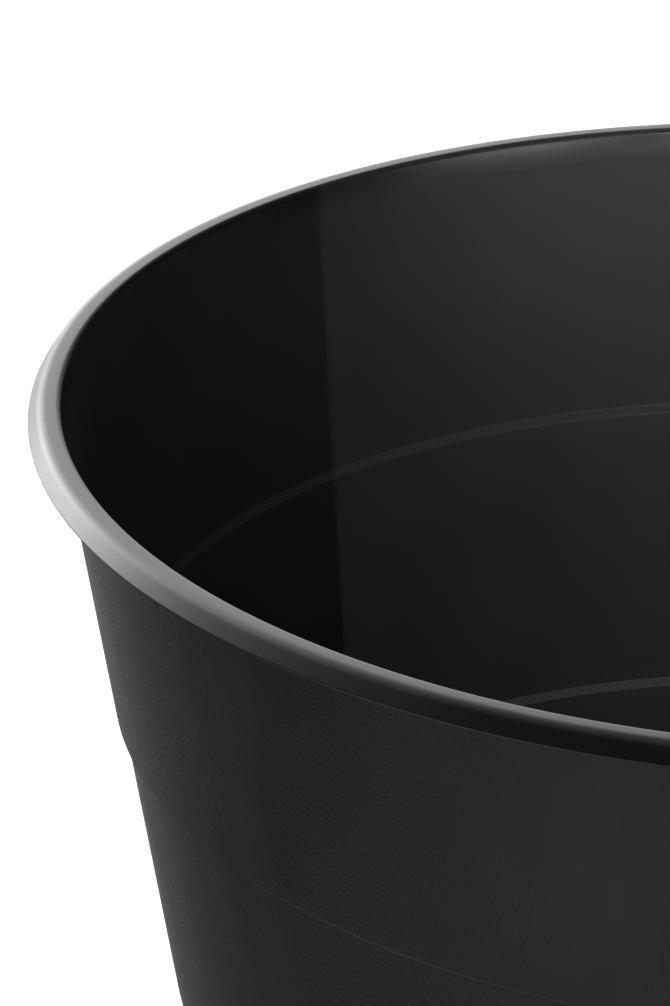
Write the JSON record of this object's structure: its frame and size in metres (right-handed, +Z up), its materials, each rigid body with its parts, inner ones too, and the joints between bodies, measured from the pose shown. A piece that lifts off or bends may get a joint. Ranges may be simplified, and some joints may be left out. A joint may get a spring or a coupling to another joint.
{
  "type": "florist bucket",
  "caption": "Tall tapered round bucket in black plastic with a flat flared rim and stepped stacking shoulders, for standing cut flower stems in water.",
  "frame": {"origin": "centre of the standing ring's lower face", "axes": "+Z up along the bucket's axis; the bucket is round, so +X and +Y have no features of their own"},
  "size_m": [0.3043, 0.3044, 0.28],
  "materials": {
    "rim_gloss": "moulded black polypropylene, semi-gloss on the rim",
    "wall_satin": "moulded black polypropylene, fine satin grain outside and smooth gloss inside",
    "base_satin": "moulded black polypropylene, satin"
  },
  "bodies": {
    "root": {"rim_band": "rim_gloss", "rim_skirt": "rim_gloss", "upper_wall": "wall_satin", "upper_shoulder": "wall_satin", "middle_wall": "wall_satin", "lower_shoulder": "wall_satin", "lower_wall": "wall_satin", "base_heel": "base_satin", "floor_panel": "base_satin", "foot_ring": "base_satin", "gate_nub": "base_satin"}
  },
  "joints": []
}
